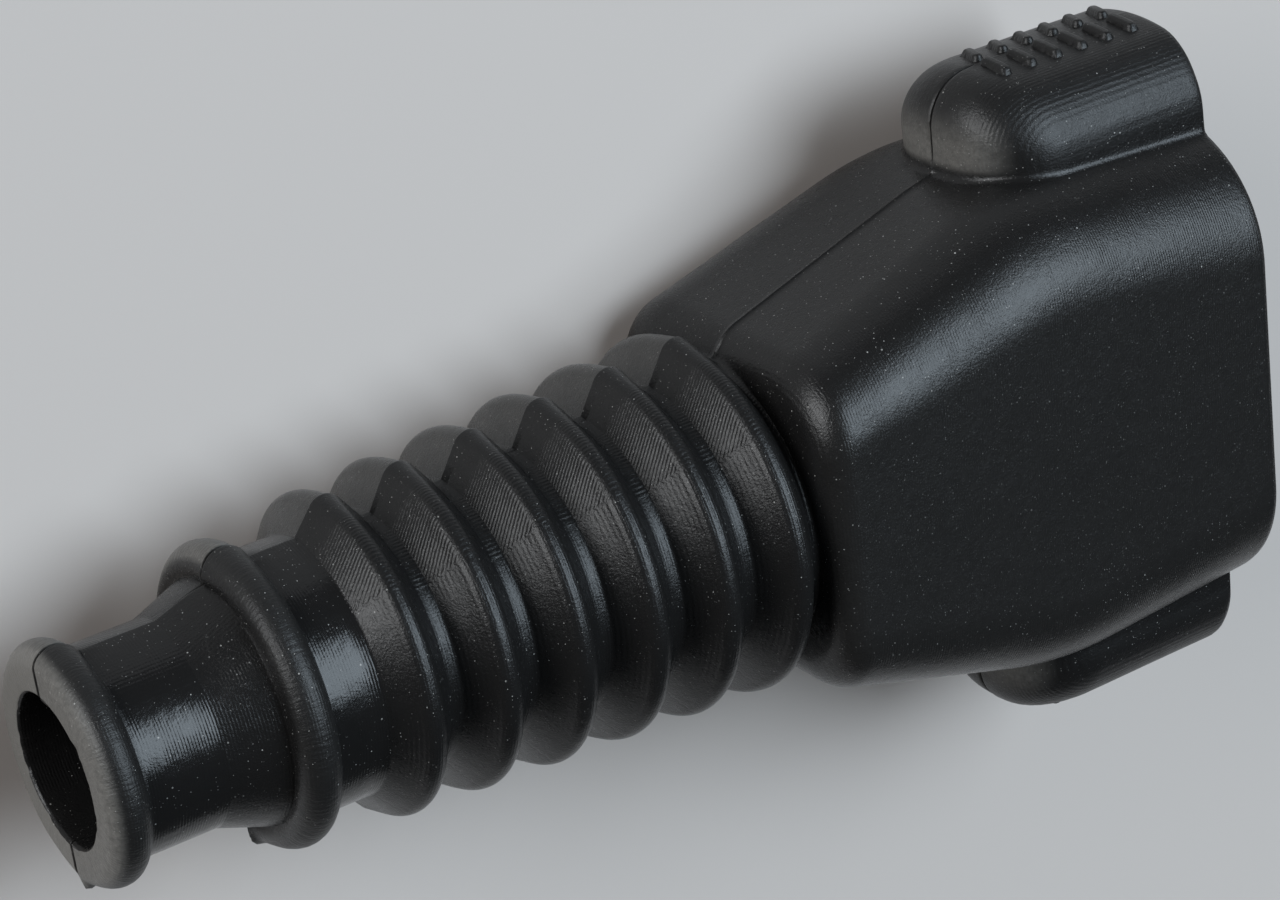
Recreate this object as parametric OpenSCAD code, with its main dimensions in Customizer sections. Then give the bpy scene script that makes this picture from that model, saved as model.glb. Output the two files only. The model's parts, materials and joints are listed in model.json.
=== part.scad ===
// Moulded rubber boot for a rectangular multi-way connector.
// The cable goes in at a beaded mouth, runs through a bellows and reaches a flared head,
// which slips over the connector and has a raised cover over each of its two latches.
// X runs along the cable from the mouth to the open end, Y points at a latch cover,
// and the boot lies on the lower of its two broad faces.

/* [Cable mouth] */
// Diameter of the cable bore
bore_d = 9.8; // [6:0.1:11]
// Thickness of the rubber round the bore
neck_wall = 1.8; // [1.2:0.1:2.4]
// Distance from the mouth face to the start of the cone
neck_l = 8; // [6:0.1:12]
// Width of the rounded bead round the mouth
mouth_bead_w = 2.8; // [2.4:0.1:4.5]
// How far the mouth bead stands above the neck
mouth_bead_h = 1.1; // [0.4:0.1:1.5]
// Length of the cone between the neck and the ring bead
cone_l = 4.9; // [3:0.1:8]
// How much the radius grows over the cone
cone_rise = 1.8; // [1:0.1:2.4]
// Section radius of the ring bead behind the cone
ring_bead_r = 1.4; // [0.8:0.05:1.8]
// Length of the plain barrel between the ring bead and the first fold
barrel_l = 4.5; // [2.5:0.1:8]

/* [Bellows] */
// Number of folds
folds = 6; // [3:1:9]
// Distance from one fold to the next
fold_pitch = 5.2; // [4.8:0.1:7]
// Diameter over the crest of the first fold
fold_d = 21.2; // [20.6:0.1:23]
// How much each fold is larger in diameter than the one before
fold_growth = 0.65; // [0:0.05:0.8]
// Height of a fold above the floor of the valley beside it
fold_h = 2.4; // [1.8:0.1:3]
// Rounding radius of a fold's crest
crest_r = 0.95; // [0.5:0.05:1.2]
// Width of the flat floor between two folds
floor_w = 0.9; // [0.4:0.1:1.2]
// Thickness of the rubber in the bellows
bellows_wall = 1.3; // [1:0.1:1.8]

/* [Head] */
// Length of the head from its front face to the open end
head_l = 36.6; // [28:0.2:50]
// Thickness of the head between its two broad faces
head_t = 24.5; // [22:0.1:30]
// Height of the head at its front face
front_h = 22.2; // [21.6:0.1:28]
// Height of the head where the flare ends
shoulder_h = 34.8; // [32:0.1:44]
// Height of the head at the open end
mouth_h = 34; // [31:0.1:42]
// Length of the flare
flare_l = 19.4; // [12:0.2:22]
// Length over which the flare runs out into the straight sides
flare_blend = 8; // [2:0.2:12]
// Rounding radius of the head's long edges at the front face
front_edge_r = 5.4; // [4:0.1:8]
// Rounding radius of the head's long edges at the open end
end_edge_r = 8.8; // [4:0.1:10]
// Rounding radius round the head's front face
front_r = 2.2; // [1:0.1:3]
// Thickness of the rubber in the head
head_wall = 1.8; // [1.2:0.1:2.6]

/* [Latch covers] */
// Length of a latch cover up to the open end
cover_l = 17.6; // [14:0.2:22]
// Width of a latch cover
cover_w = 13.9; // [12:0.1:15]
// Height of a latch cover above the head's side at the open end
cover_h = 6.4; // [4:0.1:8]
// Rounding radius of the front corners of a latch cover, seen from above
cover_corner_r = 5.8; // [4.6:0.1:6]
// Rounding radius of the crown of a latch cover
crown_r = 3.9; // [2.5:0.1:4.6]
// Thickness of the rubber in a latch cover
cover_wall = 1.8; // [1.2:0.1:2.4]

/* [Grip bars] */
// Number of rows of grip bars on a latch cover
bars = 6; // [3:1:7]
// Thickness of a grip bar
bar_d = 1; // [0.6:0.1:1.4]
// Length of one grip bar
bar_l = 2.6; // [1.5:0.1:3]
// Gap between the two bars of a row, over the parting line
bar_gap = 0.5; // [0.4:0.1:2]
// Slant of the bars on the -Z side of the parting line, in degrees
bar_slant = 20; // [0:1:25]
// Distance from the front of the cover to the first row
bar_start = 4.7; // [4.6:0.1:6]
// Distance from the last row to the open end
bar_end = 2.1; // [1:0.1:3]

/* [Hidden] */
round_sides = 96;
edge_sides = 32;
arc_steps = 8;
slab = 0.02;
past = 1;

bore_r = bore_d / 2;
neck_r = bore_r + neck_wall;
mouth_r = neck_r + mouth_bead_h;
barrel_r = neck_r + cone_rise;
ring_x = neck_l + cone_l;
bellows_x = ring_x + barrel_l;
head_x = bellows_x + folds * fold_pitch;
flare_x = head_x + flare_l;
end_x = head_x + head_l;

// Place and outer radius of crest k, and radius of the floor before it
function crest_x(k) = bellows_x + (k + 0.5) * fold_pitch;
function crest_top(k) = (fold_d + k * fold_growth) / 2;
function floor_r(k) = k == 0 ? barrel_r : crest_top(k - 0.5) - fold_h;

// Points of an arc of radius r about c, from angle a to angle b
function arc(c, r, a, b) =
    [for (i = [0:arc_steps]) c + r * [cos(a + (b - a) * i / arc_steps), sin(a + (b - a) * i / arc_steps)]];

// Direction in which a line from a point at the offset d touches a circle of radius r
function touch(d, r) = atan2(d[1], d[0]) + acos(r / norm(d));

// Outer outline of one fold: foot, flank, rounded crest, flank, foot
foot_w = (fold_pitch - floor_w) / 2;
function fold_outside(k) =
    let (c = [crest_x(k), crest_top(k) - crest_r])
    concat(
        [[c[0] - foot_w, floor_r(k)]],
        arc(c, crest_r, 180 - touch([foot_w, floor_r(k) - c[1]], crest_r),
            touch([foot_w, floor_r(k + 1) - c[1]], crest_r)),
        [[c[0] + foot_w, floor_r(k + 1)]]
    );

// Inner outline of one fold, its flanks a wall's thickness inside the outer ones
flank_rise = fold_h - crest_r / 2;
flank_lean = atan2(foot_w - crest_r, flank_rise);
inner_foot_w = foot_w - bellows_wall * tan(45 - flank_lean / 2);
inner_crest_w = max(crest_r / 4, inner_foot_w - flank_rise * tan(flank_lean));
function fold_inside(k) = [
    [crest_x(k) - inner_foot_w, floor_r(k) - bellows_wall],
    [crest_x(k) - inner_crest_w, crest_top(k) - bellows_wall],
    [crest_x(k) + inner_crest_w, crest_top(k) - bellows_wall],
    [crest_x(k) + inner_foot_w, floor_r(k + 1) - bellows_wall]
];

// Half height of the head along the flare and along the straight taper to the open end
function flare_line(x) = front_h / 2 + (shoulder_h - front_h) / 2 * (x - head_x) / flare_l;
function end_line(x) = shoulder_h / 2 - (shoulder_h - mouth_h) / 2 * (x - flare_x) / (head_l - flare_l);

// Rounding radius of the head's long edges along the head
function edge_r(x) = front_edge_r + (end_edge_r - front_edge_r) * (x - head_x) / head_l;

// Point of the rounded run-out from the flare to the taper, u from 0 to 1
run_out_from = flare_x - flare_blend / 2;
run_out_to = flare_x + flare_blend / 2;
function run_out(u) =
    (1 - u) * (1 - u) * [run_out_from, flare_line(run_out_from)]
        + 2 * u * (1 - u) * [flare_x, shoulder_h / 2]
        + u * u * [run_out_to, end_line(run_out_to)];

// Stations along the head as [x, half height, inset], the inset rounding the front face
head_stations = concat(
    [for (a = [0:22.5:90]) let (x = head_x + front_r * (1 - cos(a)))
        [x, flare_line(x), front_r * (1 - sin(a))]],
    [for (u = [0:0.25:1]) concat(run_out(u), [0])],
    [[end_x, mouth_h / 2, 0]]
);

module rounded_rect(h, t, r) {
    square([h, t - 2 * r], center = true);
    square([h - 2 * r, t], center = true);
    for (y = [-1, 1], z = [-1, 1])
        translate([y * (h / 2 - r), z * (t / 2 - r)]) circle(r, $fn = edge_sides);
}

// Stands a flat outline, drawn with Y across and Z up, at a station of the axis
module across(x, l) {
    translate([x, 0, 0]) rotate([90, 0, 90]) linear_extrude(l) children();
}

// Turns an outline of axial place and radius about the axis
module about_axis() {
    rotate([0, 90, 0]) rotate_extrude($fn = round_sides) rotate(90) mirror([0, 1]) children();
}

// Outline of the mouth, neck, ring bead, barrel and bellows
module tail_outside() {
    bead_round = min(mouth_bead_w, neck_wall + mouth_bead_h) / 2;
    polygon(concat(
        [[0, 0]],
        arc([bead_round, mouth_r - bead_round], bead_round, 180, 90),
        arc([mouth_bead_w - bead_round, mouth_r - bead_round], bead_round, 90, 0),
        [[mouth_bead_w, neck_r], [neck_l, neck_r], [ring_x, barrel_r]],
        [for (k = [0:folds - 1]) each fold_outside(k)],
        [[head_x + head_wall, floor_r(folds)], [head_x + head_wall, 0]]
    ));
    translate([ring_x, barrel_r]) circle(ring_bead_r, $fn = edge_sides);
}

// Outline of the passage through them
module tail_inside() {
    barrel_bore_r = barrel_r - bellows_wall;
    head_bore_r = floor_r(folds) - bellows_wall;
    polygon(concat(
        [[-past, 0], [-past, bore_r], [neck_l, bore_r], [ring_x, barrel_bore_r]],
        [for (k = [0:folds - 1]) each fold_inside(k)],
        [[head_x + head_wall + past, head_bore_r], [head_x + head_wall + past, 0]]
    ));
}

// Outside of the head
module head_outside() {
    hull() for (s = head_stations)
        across(min(s[0], end_x - slab), slab)
            rounded_rect(2 * (s[1] - s[2]), head_t - 2 * s[2], edge_r(s[0]) - s[2]);
}

// Room for the connector, a wall's thickness inside the head and open at the end
module head_inside() {
    room_t = head_t - 2 * head_wall;
    front_x = head_x + head_wall;
    front_room_h = 2 * (flare_line(front_x) - head_wall);
    hull() {
        across(front_x, slab)
            rounded_rect(front_room_h - front_r, room_t - front_r, front_edge_r - head_wall);
        for (u = [0:0.25:1]) let (s = run_out(u))
            across(s[0], slab) rounded_rect(2 * (s[1] - head_wall), room_t, edge_r(s[0]) - head_wall);
        across(end_x, past) rounded_rect(mouth_h - 2 * head_wall, room_t, end_edge_r - head_wall);
    }
}

// Outside of the latch cover on the +Y side
cover_x = end_x - cover_l;
cover_top = mouth_h / 2 + cover_h;
module cover_outside() {
    side_h = cover_top - crown_r;
    hull() for (z = [-1, 1]) {
        translate([cover_x + cover_corner_r, 0, z * (cover_w / 2 - cover_corner_r)]) rotate([-90, 0, 0]) {
            cylinder(r = cover_corner_r, h = side_h, $fn = edge_sides);
            translate([0, 0, side_h]) rotate_extrude($fn = edge_sides)
                translate([max(cover_corner_r - crown_r, slab), 0]) intersection() {
                    circle(crown_r, $fn = edge_sides);
                    translate([0, -crown_r]) square([crown_r, 2 * crown_r]);
                }
        }
        translate([end_x - slab, side_h, z * (cover_w / 2 - crown_r)]) rotate([0, 90, 0])
            cylinder(r = crown_r, h = slab, $fn = edge_sides);
        translate([end_x - slab, 0, -cover_w / 2]) cube([slab, side_h, cover_w]);
    }
}

// Room for the latch in the cover on the +Y side, open at the end
module cover_inside() {
    room_l = cover_l - cover_wall + past;
    room_w = cover_w - 2 * cover_wall;
    room_top = cover_top - cover_wall;
    room_r = crown_r - cover_wall;
    corner_r = cover_corner_r - cover_wall;
    translate([cover_x + cover_wall, 0, 0]) intersection() {
        rotate([-90, 0, 0]) linear_extrude(room_top) translate([(room_l + corner_r) / 2, 0])
            rounded_rect(room_l + corner_r, room_w, corner_r);
        across(0, room_l) translate([(room_top - room_r) / 2, 0])
            rounded_rect(room_top + room_r, room_w, room_r);
        linear_extrude(room_w, center = true) translate([(room_l + room_r) / 2, (room_top - room_r) / 2])
            rounded_rect(room_l + room_r, room_top + room_r, room_r);
    }
}

// Rows of two short bars across the crown of the cover on the +Y side
module grip_bars() {
    bar_pitch = (cover_l - bar_start - bar_end) / (bars - 1);
    for (i = [0:bars - 1], z = [-1, 1])
        translate([cover_x + bar_start + i * bar_pitch, cover_top, z * bar_gap / 2])
            rotate([0, z < 0 ? -bar_slant : 0, 0]) translate([0, 0, z * bar_l / 2])
                cylinder(d = bar_d, h = bar_l, center = true, $fn = edge_sides);
}

module boot() {
    color("#1b1b1d") difference() {
        union() {
            about_axis() tail_outside();
            head_outside();
            for (side = [0, 1]) mirror([0, side, 0]) {
                cover_outside();
                grip_bars();
            }
        }
        about_axis() tail_inside();
        head_inside();
        for (side = [0, 1]) mirror([0, side, 0]) cover_inside();
    }
}

boot();
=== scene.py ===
import json
import math

import bmesh
import bpy
import numpy as np
from mathutils import Euler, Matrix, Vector


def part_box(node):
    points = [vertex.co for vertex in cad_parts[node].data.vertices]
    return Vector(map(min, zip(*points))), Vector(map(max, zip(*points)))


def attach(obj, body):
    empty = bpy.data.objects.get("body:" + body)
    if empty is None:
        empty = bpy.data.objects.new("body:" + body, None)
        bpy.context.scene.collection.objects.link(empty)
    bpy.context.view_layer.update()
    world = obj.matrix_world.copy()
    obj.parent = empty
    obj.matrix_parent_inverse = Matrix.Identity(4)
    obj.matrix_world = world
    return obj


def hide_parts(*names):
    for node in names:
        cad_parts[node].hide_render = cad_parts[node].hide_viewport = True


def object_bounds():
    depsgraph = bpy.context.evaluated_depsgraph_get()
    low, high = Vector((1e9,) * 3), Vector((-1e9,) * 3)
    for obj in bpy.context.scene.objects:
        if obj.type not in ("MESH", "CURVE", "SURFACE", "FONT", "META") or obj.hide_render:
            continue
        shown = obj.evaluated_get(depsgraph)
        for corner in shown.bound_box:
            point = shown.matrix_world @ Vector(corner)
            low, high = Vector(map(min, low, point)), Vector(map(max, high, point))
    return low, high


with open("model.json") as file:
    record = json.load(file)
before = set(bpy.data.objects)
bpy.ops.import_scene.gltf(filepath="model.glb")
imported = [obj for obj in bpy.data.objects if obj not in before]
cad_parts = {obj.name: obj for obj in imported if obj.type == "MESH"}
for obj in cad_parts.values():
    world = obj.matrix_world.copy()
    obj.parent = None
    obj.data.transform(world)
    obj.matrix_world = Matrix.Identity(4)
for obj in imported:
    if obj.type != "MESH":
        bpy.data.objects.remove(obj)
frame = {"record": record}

cad_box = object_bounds()

# The cable end of the boot: a beaded mouth with a round bore, a plain neck, a cone, a ring bead
# and a short barrel. It is moulded in one with the rest, so here it is the first stretch of an
# outline in millimetres, as distance along the cable and radius, that is turned into one skin.
MM = 0.001
bore_r = frame["record"]["mounts"][0]["dims"]["r_mm"]
bore_edge_r = 0.3
bore_edge_steps = 4
mouth_face_r = 5.7
mouth_r = 7.8
mouth_bead_r = 1.4
bead_steps = 15
neck_r = 6.7
neck_stations = (2.95, 4.5, 6.2)
neck_end = 8.0
edge_break = 0.12
cone_stations = (9.2, 10.4)
ring_bead_x = 12.9
ring_bead_r = 1.4
barrel_r = 8.5
barrel_stations = (14.45, 15.6, 16.8)


def arc(x, r, radius, start, end, steps):
    """Points of an arc about x, r, with its angles in degrees from the open end's direction."""
    angles = [math.radians(start + (end - start) * i / steps) for i in range(steps + 1)]
    return [(x + radius * math.cos(a), r + radius * math.sin(a)) for a in angles]


bead_foot = math.degrees(math.asin((neck_r - mouth_r + mouth_bead_r) / mouth_bead_r))
cone_angle = math.degrees(math.atan2(barrel_r - neck_r, ring_bead_x - neck_end))
cone_slope = math.tan(math.radians(cone_angle))
outside = arc(bore_edge_r, bore_r + bore_edge_r, bore_edge_r, 270, 180, bore_edge_steps)
outside += [(0.0, mouth_face_r)]
outside += arc(mouth_bead_r, mouth_r - mouth_bead_r, mouth_bead_r, 180, bead_foot, bead_steps)
outside += [(x, neck_r) for x in neck_stations]
outside += [(neck_end - edge_break, neck_r)]
outside += [(neck_end + edge_break, neck_r + edge_break * cone_slope)]
outside += [(x, neck_r + (x - neck_end) * cone_slope) for x in cone_stations]
outside += arc(ring_bead_x, barrel_r, ring_bead_r, 180 + cone_angle, 0, bead_steps)
outside += [(x, barrel_r) for x in barrel_stations]

# The bellows: six round folds that grow a little towards the head, with rounded crests, straight
# flanks and narrow flat valleys, so that the boot can bend with the cable.
folds = 6
fold_pitch = 5.2
first_crest_x = 20.0
first_crest_top = 10.6
crest_growth = 0.325
fold_height = 2.4
crest_r = 0.95
crest_steps = 10
foot_half = 2.15
foot_out = 0.06
foot_in = 0.04
foot_rise = 0.05


def crest_top(k):
    return first_crest_top + crest_growth * k


def valley_r(k):
    return barrel_r if k == 0 else crest_top(k - 0.5) - fold_height


for k in range(folds):
    crest_x = first_crest_x + fold_pitch * k
    crest_r_axis = crest_top(k) - crest_r
    leans = []
    for foot_r in (valley_r(k), valley_r(k + 1)):
        rise = foot_r - crest_r_axis
        reach = math.hypot(foot_half, rise)
        leans.append(math.degrees(math.atan2(rise, foot_half) + math.acos(crest_r / reach)))
    first_foot, last_foot = crest_x - foot_half, crest_x + foot_half
    outside += [(first_foot - foot_out, valley_r(k))]
    outside += [(first_foot + foot_in, valley_r(k) + foot_rise)]
    outside += arc(crest_x, crest_r_axis, crest_r, 180 - leans[0], leans[1], crest_steps)
    outside += [(last_foot - foot_in, valley_r(k + 1) + foot_rise)]
    outside += [(last_foot + foot_out, valley_r(k + 1))]

# The head: a flared rounded box that slips over the connector, with soft edges and a slight taper
# to its open end. Here it is a form, negative inside the rubber, that the skin is laid upon.
head_x = 48.6
end_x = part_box("boot")[1].x / MM
half_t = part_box("boot")[1].z / MM
front_half = 11.1
shoulder_half = 17.4
end_half = 17.0
flare_x = 68.0
flare_blend = 8.0
front_edge_r = 5.4
end_edge_r = 8.8
front_r = 2.2
head_wall = 1.8
valley_fillet = 0.3


def rounded(a, b, radius):
    """The gap to a solid that lies inside both a and b, with their common edge rounded."""
    a, b = a + radius, b + radius
    outer_gap = np.hypot(np.maximum(a, 0), np.maximum(b, 0))
    return outer_gap + np.minimum(np.maximum(a, b), 0) - radius


def filleted(a, b, radius):
    """The gap to a solid made of a and b together, with the corner between them filled."""
    filled = np.hypot(np.maximum(radius - a, 0), np.maximum(radius - b, 0))
    return np.maximum(radius, np.minimum(a, b)) - filled


def head_half(x):
    """Half the head's width across the latch covers at a distance along the cable."""
    def flare(at):
        return front_half + (shoulder_half - front_half) * (at - head_x) / (flare_x - head_x)

    def taper(at):
        return shoulder_half + (end_half - shoulder_half) * (at - flare_x) / (end_x - flare_x)

    start, stop = flare_x - flare_blend / 2, flare_x + flare_blend / 2
    u = np.clip((x - start) / flare_blend, 0, 1)
    bow = (1 - u) ** 2 * flare(start) + 2 * u * (1 - u) * shoulder_half + u ** 2 * taper(stop)
    return np.where(u <= 0, flare(x), np.where(u >= 1, taper(x), bow))


def head_gap(x, y, z):
    """The gap to the head, with the last valley of the bellows run into its front."""
    along = np.clip((x - head_x) / (end_x - head_x), 0, 1)
    edge_r = front_edge_r + (end_edge_r - front_edge_r) * along
    half = head_half(np.maximum(x, head_x))
    section = rounded(np.abs(y) - half, np.abs(z) - half_t, edge_r)
    box = rounded(section, head_x - x, front_r)
    return filleted(box, np.hypot(y, z) - valley_r(folds), valley_fillet)


# The latch covers: a hollow hump on each narrow side of the head over the connector's latches,
# round at its front, with a domed crown and a tight fillet where it grows out of the head.
cover_x = 67.6
cover_half = 6.95
cover_top = 23.4
cover_corner_r = 5.8
crown_r = 3.5
crown_dome_r = 14.0
cover_fillet = 0.38


def boot_gap(x, y, z):
    """The gap to the head with its two covers."""
    plan = rounded(cover_x - x, np.abs(z) - cover_half, cover_corner_r)
    dome = np.abs(y) - cover_top + z ** 2 / (2 * crown_dome_r)
    hump = rounded(plan, dome, crown_r)
    return filleted(head_gap(x, y, z), hump, cover_fillet)


# The skin: the outline is turned about the cable's axis into a closed wall with an inside, then
# the head's stretches are drawn out to the form. Turns crowd together at the parting line of the
# two mould halves, and on the head also where the latch covers rise and at the rows of grip bars.
turns = 256
head_stations = 104
inner_stations = 22
head_start = 0.12
inner_start = 0.4
end_round = 0.45
bellows_wall = 1.3
crest_wall = 1.5
crest_side_wall = 1.75
inner_foot = 2.5
inner_crest_half = 0.9
inner_barrel_stations = (17.4, 13.0)
inner_bore_stations = (8.4, 6.0, 3.0, 1.2)
bar_rows = 6
bar_pitch = 2.16
first_bar_x = 72.3
bar_slant = math.radians(20)

# Each place on the rim is the share of the wall that is crossed and the share of the rounding.
rim = [(0.04, 0.3), (0.12, 0.1), (0.25, 0.0), (0.5, 0.0), (0.75, 0.0), (0.88, 0.1), (0.96, 0.3)]
inside = []
for k in reversed(range(folds)):
    crest_x = first_crest_x + fold_pitch * k
    inside += [(crest_x + inner_foot, valley_r(k + 1) - bellows_wall)]
    inside += [(crest_x + inner_crest_half, crest_top(k) - crest_side_wall)]
    inside += [(crest_x, crest_top(k) - crest_wall)]
    inside += [(crest_x - inner_crest_half, crest_top(k) - crest_side_wall)]
inside += [(x, barrel_r - bellows_wall) for x in inner_barrel_stations]
inside += [(x, bore_r) for x in inner_bore_stations]

stretches = [len(outside), head_stations, len(rim), inner_stations, len(inside)]
first_head, first_rim, first_inner, first_inside, stations = np.cumsum(stretches)
last_outer = first_rim - 0.5
angle_steps = 1801


def turn_angles(crowds):
    """Angles of the turns in radians, denser where a crowd of (degrees, width, weight) asks."""
    angle = np.linspace(0, 90, angle_steps)
    weight = 1 + sum(w * np.exp(-((angle - at) / wide) ** 2) for at, wide, w in crowds)
    share = np.concatenate([[0], np.cumsum((weight[1:] + weight[:-1]) / 2)])
    quarter = np.interp(np.linspace(0, share[-1], turns // 4 + 1), share, angle)[:-1]
    half = np.concatenate([quarter, [90], 180 - quarter[:0:-1]])
    return np.radians(np.concatenate([half, 180 + half]))


fine_steps = 1200
halvings = 36
least_r = 2.0
most_r = 40.0
bend_weight = 1.6
row_weight = 1.6
row_reach = 0.5
crown_reach = 4


def lay_on(gap, first_x, last_x, count, angles):
    """Places along the form in each half plane through the axis, closer where it curves."""
    x = np.linspace(first_x, last_x, fine_steps)[:, None] + 0 * angles
    low, high = np.full_like(x, least_r), np.full_like(x, most_r)
    for _ in range(halvings):
        r = (low + high) / 2
        within = gap(x, r * np.cos(angles), r * np.sin(angles)) < 0
        low, high = np.where(within, r, low), np.where(within, high, r)
    r = (low + high) / 2
    step_x, step_r = np.diff(x, axis=0), np.diff(r, axis=0)
    bend = np.abs(np.diff(np.arctan2(step_r, step_x), axis=0, prepend=0))
    bend[0] = 0
    slant = math.tan(bar_slant) * np.maximum(-cover_top * np.sin(angles), 0)
    from_first = x[1:] - first_bar_x - slant
    from_row = (from_first + bar_pitch / 2) % bar_pitch - bar_pitch / 2
    from_middle = np.abs(from_first - (bar_rows - 1) / 2 * bar_pitch)
    rows = np.exp(-(from_row / row_reach) ** 2) * (from_middle < bar_rows / 2 * bar_pitch)
    rows = rows * np.exp(-(np.sin(angles) * cover_top / crown_reach) ** 4)
    spread = np.hypot(step_x, step_r) + bend_weight * bend + row_weight * rows * step_x
    length = np.concatenate([np.zeros((1, len(angles))), np.cumsum(spread, axis=0)])
    out_x, out_r = np.empty((count, len(angles))), np.empty((count, len(angles)))
    for i in range(len(angles)):
        at = np.linspace(0, length[-1, i], count)
        out_x[:, i] = np.interp(at, length[:, i], x[:, i])
        out_r[:, i] = np.interp(at, length[:, i], r[:, i])
    return out_x, out_r


def wall_gap(x, y, z):
    """The gap to the inside of the head's wall."""
    return boot_gap(x, y, z) + head_wall


tail_crowds = [(0, 6, 5)]
head_crowds = [(0, 2.5, 5), (9, 7, 1.2), (19, 4, 2.5), (22, 1.0, 12), (48, 16, 0.6)]
tail_angles = turn_angles(tail_crowds)
head_angles = turn_angles(head_crowds)
eased = 40
ease = (np.arange(eased) / (eased - 1.0))[:, None]
ease = ease * ease * (3 - 2 * ease)
inner_eased = 16
inner_ease = (1 - np.arange(inner_eased) / inner_eased)[:, None]
inner_angles = tail_angles + (head_angles - tail_angles) * inner_ease
angle_grid = np.tile(tail_angles, (stations, 1))
angle_grid[first_head - eased:first_head] += (head_angles - tail_angles) * ease
angle_grid[first_head:first_inside] = head_angles
angle_grid[first_inside:first_inside + inner_eased] = inner_angles

x_grid, r_grid = np.empty((stations, turns)), np.empty((stations, turns))
x_grid[:first_head] = np.array(outside)[:, :1]
r_grid[:first_head] = np.array(outside)[:, 1:]
x_grid[first_inside:] = np.array(inside)[:, :1]
r_grid[first_inside:] = np.array(inside)[:, 1:]
laid_end = end_x - end_round
laid_start = outside[-1][0] + head_start
x_out, r_out = lay_on(boot_gap, laid_start, laid_end, head_stations, head_angles)
x_in, r_in = lay_on(wall_gap, head_x + inner_start, laid_end, inner_stations, head_angles)
x_grid[first_head:first_rim], r_grid[first_head:first_rim] = x_out, r_out
x_grid[first_inner:first_inside], r_grid[first_inner:first_inside] = x_in[::-1], r_in[::-1]
for i, (crossed, back) in enumerate(rim):
    x_grid[first_rim + i] = end_x - back * end_round
    r_grid[first_rim + i] = r_out[-1] + (r_in[-1] - r_out[-1]) * crossed

skin = bmesh.new()
station_of = skin.verts.layers.float.new("station")
outline = []
for i in range(stations):
    vert = skin.verts.new((x_grid[i, 0] * MM, r_grid[i, 0] * MM, 0))
    vert[station_of] = i
    outline.append(vert)
edges = [skin.edges.new((outline[i - 1], outline[i])) for i in range(stations)]
bmesh.ops.spin(skin, geom=outline + edges, cent=(0, 0, 0), axis=(1, 0, 0), dvec=(0, 0, 0),
               angle=math.tau, steps=turns, use_merge=True, use_duplicate=False)
for vert in skin.verts:
    i = round(vert[station_of])
    j = round(math.atan2(vert.co.z, vert.co.y) / math.tau * turns) % turns
    r, angle = r_grid[i, j], angle_grid[i, j]
    vert.co = Vector((x_grid[i, j], r * math.cos(angle), r * math.sin(angle))) * MM
bmesh.ops.recalc_face_normals(skin, faces=skin.faces)

# The bed of the grip bars: the crown of each cover, part of the same moulded skin. The skin is
# divided finely there, so that the bars can grow out of it, and is settled on the dome again.
bed_margin = 1.1
bed_half = 3.2
bed_cuts = 3
crown_depth = 0.8
crown_start = 2
settle_rounds = 4


def in_bed(x, y, z):
    """Whether a place on the skin lies where the grip bars stand."""
    last_bar_x = first_bar_x + bar_pitch * (bar_rows - 1)
    in_rows = first_bar_x - bed_margin < x < last_bar_x + bed_margin
    return in_rows and abs(y) > cover_top - crown_depth and abs(z) < bed_half


bed = [f for f in skin.faces if in_bed(*(f.calc_center_median() / MM))
       and all(v[station_of] < last_outer for v in f.verts)]
bed_edges = list(dict.fromkeys(e for f in bed for e in f.edges))
bmesh.ops.subdivide_edges(skin, edges=bed_edges, cuts=bed_cuts, use_grid_fill=True)
boot_mesh = bpy.data.meshes.new("boot_skin")
skin.to_mesh(boot_mesh)
skin.free()

count = len(boot_mesh.vertices)
place = np.empty(count * 3)
normal = np.empty(count * 3)
station = np.empty(count)
boot_mesh.vertices.foreach_get("co", place)
boot_mesh.vertex_normals.foreach_get("vector", normal)
boot_mesh.attributes["station"].data.foreach_get("value", station)
boot_mesh.attributes.remove(boot_mesh.attributes["station"])
place = place.reshape(-1, 3) / MM
normal = normal.reshape(-1, 3)
x, y, z = place.T
outer = station < last_outer
crown = outer & (np.abs(y) > cover_top - crown_depth) & (x > cover_x + crown_start)
for _ in range(settle_rounds):
    gap = boot_gap(x[crown], y[crown], z[crown])
    place[crown, 1] -= np.sign(y[crown]) * gap

# The parting line: where the two halves of the mould met, a soft crease runs along the neck and
# the folds, a notch crosses both beads, a fine ridge runs up the flare and a groove splits the
# covers. Stubs of flash are left below, and the cut edge of the bore is a little ragged.
crease = 0.2
crease_w = 3.0
bead_crease_loss = 0.6
half_step = 0.13
half_step_edge = 0.05
half_step_fade = 1.6
cover_step_share = 0.3
notch = 0.55
notch_w = 0.1
ridge = 0.09
ridge_w = 0.16
flare_step = 0.05
flare_step_fade = 2
cover_groove = 0.22
cover_groove_w = 0.13
crown_groove = 0.12
crown_ridge = 0.04
ragged = 0.03
ragged_out = 0.1
ragged_w = 0.3
ragged_deep = 0.4
uneven = 0.02
mouth_bead_end = (2.5, 3.0)
ring_bead_half = (1.2, 1.6)
head_run_in = (head_x - 0.6, head_x + 0.4)
cover_rise = (0.5, 1.6)
crown_edge = (cover_top - 1.6, cover_top - 0.4)
bars_edge = (first_bar_x - 1.2, first_bar_x - 0.4)

# Each stub of flash has its place along the cable and across it, its reach and its rise.
flash_stubs = [(0.7, -7.6, 0.4, 0.6), (11.8, -9.4, 0.5, 0.45), (18.7, -9.4, 0.45, 0.35)]


def soft_step(low, high, value):
    u = np.clip((value - low) / (high - low), 0, 1)
    return u * u * (3 - 2 * u)


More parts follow.
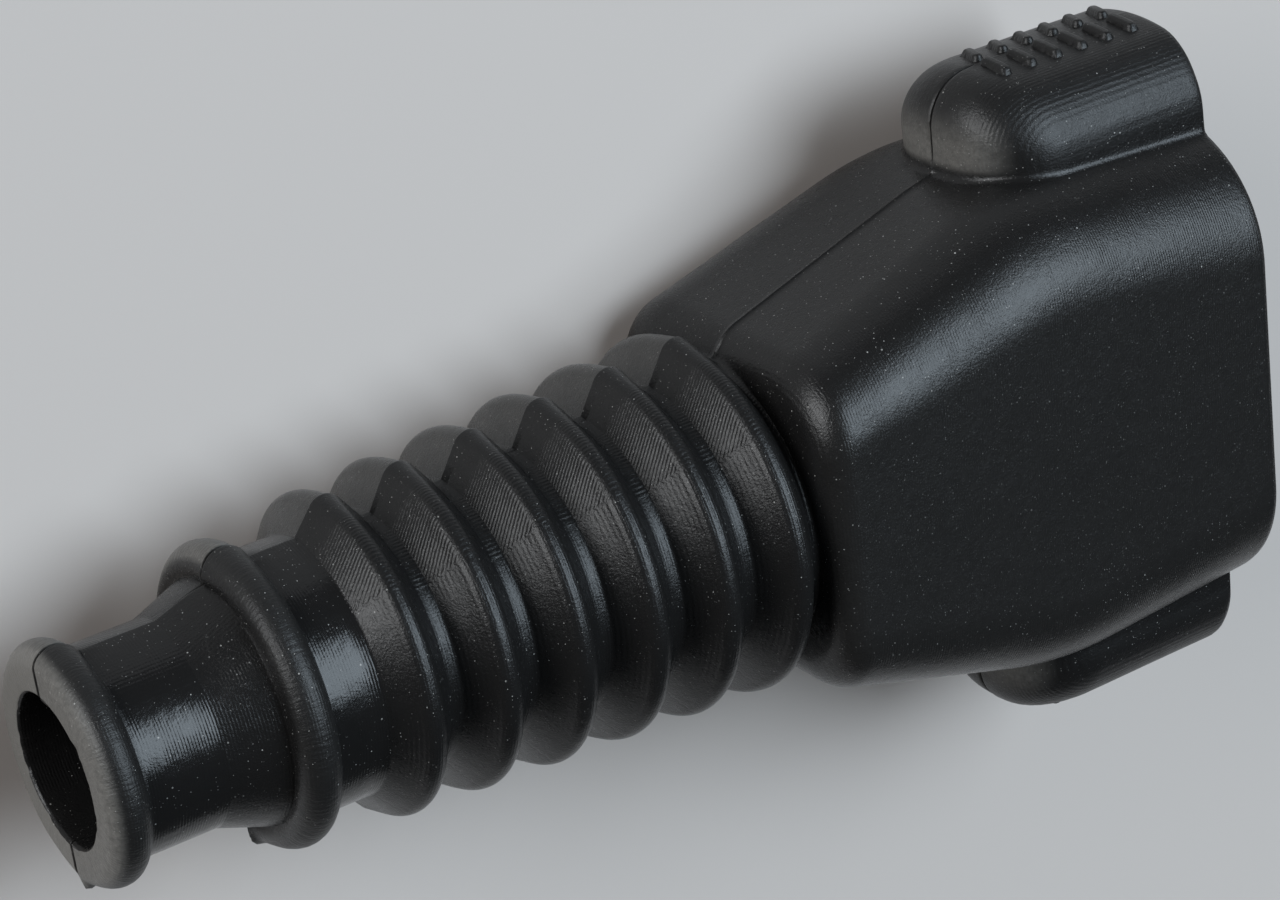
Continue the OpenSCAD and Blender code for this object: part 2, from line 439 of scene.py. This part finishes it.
mouth_bead = 1 - soft_step(*mouth_bead_end, x)
ring_bead = 1 - soft_step(*ring_bead_half, np.abs(x - ring_bead_x))
bead = np.maximum(mouth_bead, ring_bead)
tail = 1 - soft_step(*head_run_in, x)
cover = soft_step(*cover_rise, np.abs(y) - head_half(x)) * (x > cover_x - 1)
below_crown = 1 - soft_step(*crown_edge, np.abs(y))
before_bars = 1 - soft_step(*bars_edge, x)
soft_fold = np.maximum(1 - np.abs(z) / crease_w, 0) ** 2
notch_line = np.exp(-(z / notch_w) ** 2)
ridge_line = np.exp(-(z / ridge_w) ** 2)
groove_line = np.exp(-(z / cover_groove_w) ** 2)
near_edge = np.where(z > 0, 1 - np.exp(-z / half_step_edge), 0)
proud = near_edge * np.exp(-np.abs(z) / half_step_fade)
sunk = flare_step * (z > 0.01) * np.exp(-np.abs(z) / flare_step_fade)

lift = tail * (crease * (1 - bead_crease_loss * bead) * soft_fold - notch * bead * notch_line)
lift += half_step * proud * (tail + cover_step_share * cover)
lift += (1 - tail) * (1 - cover) * (ridge * ridge_line - sunk)
lift -= cover * cover_groove * below_crown * groove_line
over_crown = crown_groove * before_bars - crown_ridge * (1 - before_bars)
lift -= cover * over_crown * (1 - below_crown) * ridge_line
lift *= np.abs(z) < np.abs(y)
for stub_x, stub_y, stub_reach, stub_rise in flash_stubs:
    away = (x - stub_x) ** 2 + (y - stub_y) ** 2 + z ** 2
    lift += stub_rise * np.exp(-away / stub_reach ** 2)
turn = np.arctan2(z, y)
tatter = np.sin(7 * turn + 1) + np.sin(13 * turn + 2.1) + 0.8 * np.sin(29 * turn + 0.4)
off_edge = np.hypot(y, z) - bore_r - ragged_out
at_edge = np.exp(-(off_edge / ragged_w) ** 2 - (x / ragged_deep) ** 2)
lift -= ragged * np.maximum(tatter, 0) * at_edge
lift += uneven * np.sin(0.55 * x + 1.3) * np.sin(0.47 * y + 0.4) * np.sin(0.6 * z + 0.9)
place += normal * (lift * outer)[:, None]

# The grip bars: six rows of two small round-ended bars across the crown of each cover, moulded
# with it. Those on the near half lie square across, and those on the far half lean to the open end.
bar_r = 0.4
bar_height = 0.46
bar_length = 2.6
bar_gap = 0.5
sharp_angle = math.radians(50)

x, y, z = place.T
lean = np.where(z < 0, bar_slant, 0)
for row in range(bar_rows):
    out, over = np.abs(z) - bar_gap / 2, x - first_bar_x - bar_pitch * row
    along = out * np.cos(lean) + over * np.sin(lean)
    along = np.maximum(np.abs(along - bar_length / 2) - bar_length / 2 + bar_r, 0)
    away = np.hypot(along, over * np.cos(lean) - out * np.sin(lean))
    bar_rise = bar_height * np.sqrt(np.maximum(1 - (away / bar_r) ** 4, 0))
    place[:, 1] += np.sign(y) * bar_rise * crown
place = np.clip(place, np.array(cad_box[0]) / MM, np.array(cad_box[1]) / MM)
boot_mesh.vertices.foreach_set("co", (place * MM).ravel())
boot_mesh.update()
boot_mesh.shade_smooth()
boot_mesh.set_sharp_from_angle(angle=sharp_angle)
boot = bpy.data.objects.new("boot_rubber", boot_mesh)
bpy.context.scene.collection.objects.link(boot)

# The rubber: satin black, with the marks that the mould's cutter left on it. Fine level lines lie
# on the upper folds and on the covers and finer rings elsewhere, a grey bloom dulls the mouth,
# where it is also a painted reflection of the lit floor, a painted sheen lightens the covers'
# fronts and the far sides, where the left softbox lights them, and pale dust has settled all over.
rubber = bpy.data.materials.new("black_rubber")
rubber.use_nodes = True
nodes, links = rubber.node_tree.nodes, rubber.node_tree.links
rubber_shader = nodes["Principled BSDF"]
rubber_black = (0.0076, 0.0073, 0.0073, 1)
# The bloom grey is partly a real dusty bloom and partly a painted sheen and reflection on the lit
# sides.
bloom_and_sheen_grey = (0.135, 0.129, 0.119, 1)
dust_grey = (0.42, 0.41, 0.39, 1)
rubber_gloss = 0.27
level_pitch = 0.235
level_depth = 0.007
ring_pitch = 0.2
ring_depth = 0.005
seam_height = 0.012
streak_depth = 0.02
scratch_depth = 0.05
split_depth = 0.09
swell_depth = 0.025
grain_depth = 0.03
turned_grain_loss = 0.02


def put(socket, value):
    if isinstance(value, bpy.types.NodeSocket):
        links.new(value, socket)
    else:
        socket.default_value = value


def calc(operation, *values):
    node = nodes.new("ShaderNodeMath")
    node.operation = operation
    for socket, value in zip(node.inputs, values):
        put(socket, value)
    return node.outputs[0]


def add_up(start, *parts):
    """A starting value, with each part's mask times its amount added to it."""
    for mask, amount in parts:
        start = calc("MULTIPLY_ADD", mask, amount, start)
    return start


def blend_in(value, low, high):
    """A soft step from 0 to 1 as the value goes from low to high."""
    node = nodes.new("ShaderNodeMapRange")
    node.interpolation_type = "SMOOTHSTEP"
    put(node.inputs["Value"], value)
    node.inputs["From Min"].default_value = low
    node.inputs["From Max"].default_value = high
    return node.outputs["Result"]


def blend_out(value, low, high):
    """A soft step from 1 to 0 as the value goes from low to high."""
    return calc("SUBTRACT", 1.0, blend_in(value, low, high))


def between(value, low, high, soft):
    """1 from low to high, with soft ends."""
    return calc("SUBTRACT", blend_in(value, low - soft, low), blend_in(value, high, high + soft))


def speckle(where, scale, detail, roughness):
    node = nodes.new("ShaderNodeTexNoise")
    links.new(where, node.inputs["Vector"])
    node.inputs["Scale"].default_value = scale
    node.inputs["Detail"].default_value = detail
    node.inputs["Roughness"].default_value = roughness
    return node.outputs[0]


# Where a place on the rubber lies, in millimetres, and which part of the boot that is.
mouth_span = (-1.0, 2.6)
neck_span = (3.0, 7.9)
ring_span = (11.8, 14.0)
barrel_span = (14.4, 17.75)
folds_span = (17.85, head_x - 0.2)
broad_span = (9.5, 12.2)
cover_foot_span = (17.4, 18.2)
cover_front_span = (cover_x + 0.3, cover_x + 2.6)
under_crown_span = (cover_top - 4.5, cover_top - 1.5)
coordinates = nodes.new("ShaderNodeTexCoord")
to_mm = nodes.new("ShaderNodeVectorMath")
to_mm.operation = "SCALE"
to_mm.inputs["Scale"].default_value = 1 / MM
links.new(coordinates.outputs["Object"], to_mm.inputs[0])
at_mm = to_mm.outputs[0]
axes = nodes.new("ShaderNodeSeparateXYZ")
links.new(at_mm, axes.inputs[0])
px, py, pz = axes.outputs
across = calc("ABSOLUTE", py)
off_parting = calc("ABSOLUTE", pz)
round_angle = calc("ARCTAN2", off_parting, across)
from_axis = calc("SQRT", calc("ADD", calc("MULTIPLY", py, py), calc("MULTIPLY", pz, pz)))
near = calc("GREATER_THAN", pz, 0.0)
far = calc("SUBTRACT", 1.0, near)
upper_near = calc("MULTIPLY", calc("GREATER_THAN", py, 0.0), near)
lower_near = calc("SUBTRACT", near, upper_near)
on_tail = calc("LESS_THAN", px, head_x - 0.1)
on_head = calc("SUBTRACT", 1.0, on_tail)
on_neck = between(px, *neck_span, 0.1)
on_barrel = between(px, *barrel_span, 0.1)
turned = calc("ADD", on_neck, on_barrel)
on_folds = between(px, *folds_span, 0.1)
on_bead = calc("ADD", between(px, *mouth_span, 0.3), between(px, *ring_span, 0.3))
on_bead = calc("MULTIPLY", on_bead, calc("GREATER_THAN", from_axis, bore_r + 0.15))
on_mouth = calc("MULTIPLY", on_bead, blend_out(px, 0.1, 0.9))
on_broad = calc("MULTIPLY", on_head, blend_in(off_parting, *broad_span))
past_front = calc("GREATER_THAN", px, cover_x - 1)
on_cover = calc("MULTIPLY", past_front, blend_in(across, *cover_foot_span))
on_cover_front = calc("MULTIPLY", on_cover, blend_out(px, *cover_front_span))
on_cover_front = calc("MULTIPLY", on_cover_front, blend_out(across, *under_crown_span))


def cutter_lines(distance, pitch, wander):
    """A wave across the surface, one for each pass of the cutter."""
    bent = calc("MULTIPLY_ADD", speckle(at_mm, 0.9, 2, 0.5), wander, distance)
    return calc("SINE", calc("MULTIPLY", bent, math.tau / pitch))


# Level lines run on the upper near folds between two angles, and along the covers' near edges.
level_from = (0.23, 0.29)
level_to = (0.80, 0.82)
cover_level_from = (2.6, 3.6)
level_start = blend_in(round_angle, *level_from)
level_end = blend_in(round_angle, *level_to)
level_band = calc("MULTIPLY", calc("SUBTRACT", level_start, level_end), upper_near)
level_strength = add_up(0.3, (on_folds, 0.7), (on_barrel, -0.3))
level_mask = calc("MULTIPLY", calc("MULTIPLY", level_band, on_tail), level_strength)
cover_edge = calc("MULTIPLY", calc("MULTIPLY", on_cover, near), blend_in(pz, *cover_level_from))
level_mask = calc("MAXIMUM", level_mask, calc("MULTIPLY", cover_edge, 0.7))
level_lines = calc("MULTIPLY", cutter_lines(pz, level_pitch, 0.06), level_mask)

# Rings run round the neck, the barrel, the broad sides of the folds and the head, in patches.
tail_rings_from = (0.82, 0.84)
head_rings_from = (0.35, 0.6)
ring_tail = calc("MULTIPLY", on_tail, blend_in(round_angle, *tail_rings_from))
ring_tail = calc("MAXIMUM", ring_tail, turned)
ring_head = calc("MULTIPLY", on_head, blend_in(round_angle, *head_rings_from))
off_cover = calc("SUBTRACT", 1.0, on_cover)
ring_mask = calc("MULTIPLY", calc("ADD", ring_tail, ring_head), off_cover)
patchy = blend_in(speckle(at_mm, 0.35, 2, 0.6), 0.3, 0.65)
ring_mask = calc("MULTIPLY", ring_mask, patchy)
ring_lines = calc("MULTIPLY", cutter_lines(px, ring_pitch, 0.05), ring_mask)
upper_seam = 0.80
lower_seam = 0.55
scallop = calc("ABSOLUTE", calc("SINE", calc("MULTIPLY", from_axis, 5.2)))


def seam(angle, mask):
    """A raised scalloped line across the folds, where one cutter's work ends."""
    off = calc("MULTIPLY_ADD", scallop, -0.02, calc("SUBTRACT", round_angle, angle))
    seam_line = blend_out(calc("ABSOLUTE", off), 0.003, 0.018)
    return calc("MULTIPLY", seam_line, calc("MULTIPLY", mask, on_folds))


seams = add_up(seam(upper_seam, upper_near), (seam(lower_seam, lower_near), -0.7))

# Streaks run along the covers, scratches across the beads, and a dark split follows the parting
# line over the beads and the covers' fronts.
streak_place = nodes.new("ShaderNodeMapping")
links.new(at_mm, streak_place.inputs["Vector"])
streak_place.inputs["Scale"].default_value = (0.12, 3.2, 3.2)
streaks = calc("MULTIPLY", speckle(streak_place.outputs[0], 1.0, 3, 0.5), on_cover)
scratch_place = nodes.new("ShaderNodeCombineXYZ")
put(scratch_place.inputs[0], calc("MULTIPLY", round_angle, 42.0))
put(scratch_place.inputs[1], calc("MULTIPLY", from_axis, 0.7))
put(scratch_place.inputs[2], calc("MULTIPLY", px, 0.7))
scratches = calc("MULTIPLY", speckle(scratch_place.outputs[0], 1.0, 4, 0.5), on_bead)
split_wander = speckle(at_mm, 3.0, 3, 0.6)
split_off = calc("MULTIPLY_ADD", split_wander, 0.1, calc("SUBTRACT", pz, 0.05))
split_off = calc("ABSOLUTE", split_off)
before_first_bar = calc("LESS_THAN", px, first_bar_x - 0.6)
cover_split = blend_out(split_off, 0.04, 0.12)
cover_split = calc("MULTIPLY", cover_split, calc("MULTIPLY", on_cover, before_first_bar))
bead_split = calc("MULTIPLY", blend_out(split_off, 0.11, 0.26), on_bead)
split_line = calc("MAXIMUM", cover_split, bead_split)

grain = add_up(grain_depth, (turned, -turned_grain_loss))
surface = add_up(
    calc("MULTIPLY", level_lines, level_depth), (ring_lines, ring_depth), (seams, seam_height),
    (streaks, streak_depth), (scratches, scratch_depth), (split_line, -split_depth),
    (speckle(at_mm, 7.0, 3, 0.6), grain), (speckle(at_mm, 1.6, 3, 0.55), swell_depth))
relief = nodes.new("ShaderNodeBump")
relief.inputs["Strength"].default_value = 1.0
relief.inputs["Distance"].default_value = MM
links.new(surface, relief.inputs["Height"])
links.new(relief.outputs["Normal"], rubber_shader.inputs["Normal"])


def motes(scale, least, spread):
    """Specks of dust of uneven size and strength, thicker in some places than in others."""
    cells = nodes.new("ShaderNodeTexVoronoi")
    links.new(at_mm, cells.inputs["Vector"])
    cells.inputs["Scale"].default_value = scale
    kind = nodes.new("ShaderNodeSeparateColor")
    links.new(cells.outputs["Color"], kind.inputs[0])
    size = calc("MULTIPLY_ADD", calc("POWER", kind.outputs[0], 4.0), spread, least)
    speck = calc("LESS_THAN", cells.outputs["Distance"], size)
    drift = calc("MULTIPLY", speckle(at_mm, 0.25, 2, 0.5), 0.8)
    settled = calc("GREATER_THAN", calc("ADD", kind.outputs[1], drift), 0.82)
    strength = calc("MULTIPLY_ADD", kind.outputs[2], 0.6, 0.1)
    return calc("MULTIPLY", calc("MULTIPLY", speck, settled), strength)


def mixed(share, under, over):
    """A colour laid over another one by a share."""
    node = nodes.new("ShaderNodeMix")
    node.data_type = "RGBA"
    put(node.inputs[0], share)
    put(node.inputs[6], under)
    put(node.inputs[7], over)
    return node.outputs[2]


dust = calc("MAXIMUM", motes(2.3, 0.05, 0.09), motes(4.6, 0.08, 0.11))
dullness = add_up(
    0.17, (speckle(at_mm, 1.1, 5, 0.7), 0.18), (on_folds, 0.03), (turned, -0.08),
    (on_cover, 0.1), (on_bead, 0.13), (split_line, 0.4), (dust, 0.4))
# The share of the bloom and sheen colour: a thin real bloom everywhere, more on the beads and the
# broad faces; on the mouth partly bloom and partly a painted reflection of the lit floor; on the
# far sides of the folds and beads and on the covers' fronts a painted sheen, where the left softbox
# lights them.
bloom_and_sheen_share = add_up(
    0.01, (on_bead, 0.02), (on_broad, 0.03), (on_mouth, 0.82),
    (calc("MULTIPLY", far, on_folds), 0.16), (calc("MULTIPLY", far, on_bead), 0.6),
    (on_cover_front, 0.7))
# The split is kept clear of the bloom and sheen, so that it reads dark: painted shade in the crack.
bloom_and_sheen_share = calc("MULTIPLY", bloom_and_sheen_share, calc("SUBTRACT", 1.0, split_line))
bloom_and_sheen_amount = calc("MULTIPLY", bloom_and_sheen_share, add_up(0.2, (speckle(at_mm, 2.4, 5, 0.75), 1.6)))
rubber_colour = mixed(dust, mixed(bloom_and_sheen_amount, rubber_black, bloom_and_sheen_grey), dust_grey)
links.new(rubber_colour, rubber_shader.inputs["Base Color"])
links.new(dullness, rubber_shader.inputs["Roughness"])
rubber_shader.inputs["Specular IOR Level"].default_value = rubber_gloss
boot_mesh.materials.append(rubber)
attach(boot, "root")
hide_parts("boot")

# The studio: a pale floor that the boot lies on, a large cool softbox over the open end, a second
# one low at the cable end, and the camera of the photograph.
floor_pale = (0.53, 0.48, 0.448, 1)
floor_half = 4.0
floor_at = (0.04, 0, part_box("boot")[0].z)
floor_mesh = bpy.data.meshes.new("floor")
floor_work = bmesh.new()
bmesh.ops.create_grid(floor_work, x_segments=1, y_segments=1, size=floor_half)
bmesh.ops.translate(floor_work, verts=floor_work.verts, vec=floor_at)
floor_work.to_mesh(floor_mesh)
floor_work.free()
floor = bpy.data.objects.new("floor", floor_mesh)
bpy.context.scene.collection.objects.link(floor)
paper = bpy.data.materials.new("white_paper")
paper.use_nodes = True
paper_shader = paper.node_tree.nodes["Principled BSDF"]
paper_shader.inputs["Base Color"].default_value = floor_pale
paper_shader.inputs["Roughness"].default_value = 0.9
paper_shader.inputs["Specular IOR Level"].default_value = 0.1
floor_mesh.materials.append(paper)

# Each softbox has its direction, its distance, its width and depth, its power and its tint.
aim = Vector((0.045, 0, 0))
softboxes = [("key", (0.43, 0.3, 0.85), 1.0, 0.66, 0.72, 13.2, (0.76, 0.89, 1.0)),
             ("left", (-0.86, 0.48, 0.18), 1.1, 0.7, 0.66, 12.5, (0.96, 0.98, 1.0))]
for name, towards, distance, width, depth, power, tint in softboxes:
    lamp = bpy.data.lights.new(name, "AREA")
    lamp.shape = "RECTANGLE"
    lamp.size = width
    lamp.size_y = depth
    lamp.energy = power
    lamp.color = tint
    softbox = bpy.data.objects.new(name, lamp)
    softbox.location = aim + Vector(towards).normalized() * distance
    softbox.rotation_euler = Vector(towards).to_track_quat("Z", "Y").to_euler()
    bpy.context.scene.collection.objects.link(softbox)

world_strength = 0.04
world = bpy.data.worlds.new("studio")
world.use_nodes = True
sky = world.node_tree.nodes["Background"]
sky.inputs["Color"].default_value = (1, 1, 1, 1)
sky.inputs["Strength"].default_value = world_strength
bpy.context.scene.world = world

camera_place_mm = (-62.514, 97.248, 175.484)
camera_turn_deg = (-19.6593, -33.7202, -8.2713)
camera_data = bpy.data.cameras.new("camera")
camera_data.sensor_width = 36
camera_data.lens = 98.937
camera_data.clip_start = 0.01
camera = bpy.data.objects.new("camera", camera_data)
camera.location = Vector(camera_place_mm) * MM
camera.rotation_euler = Euler([math.radians(a) for a in camera_turn_deg], "XYZ")
bpy.context.scene.collection.objects.link(camera)
bpy.context.scene.camera = camera
bpy.context.scene.view_settings.view_transform = "Standard"
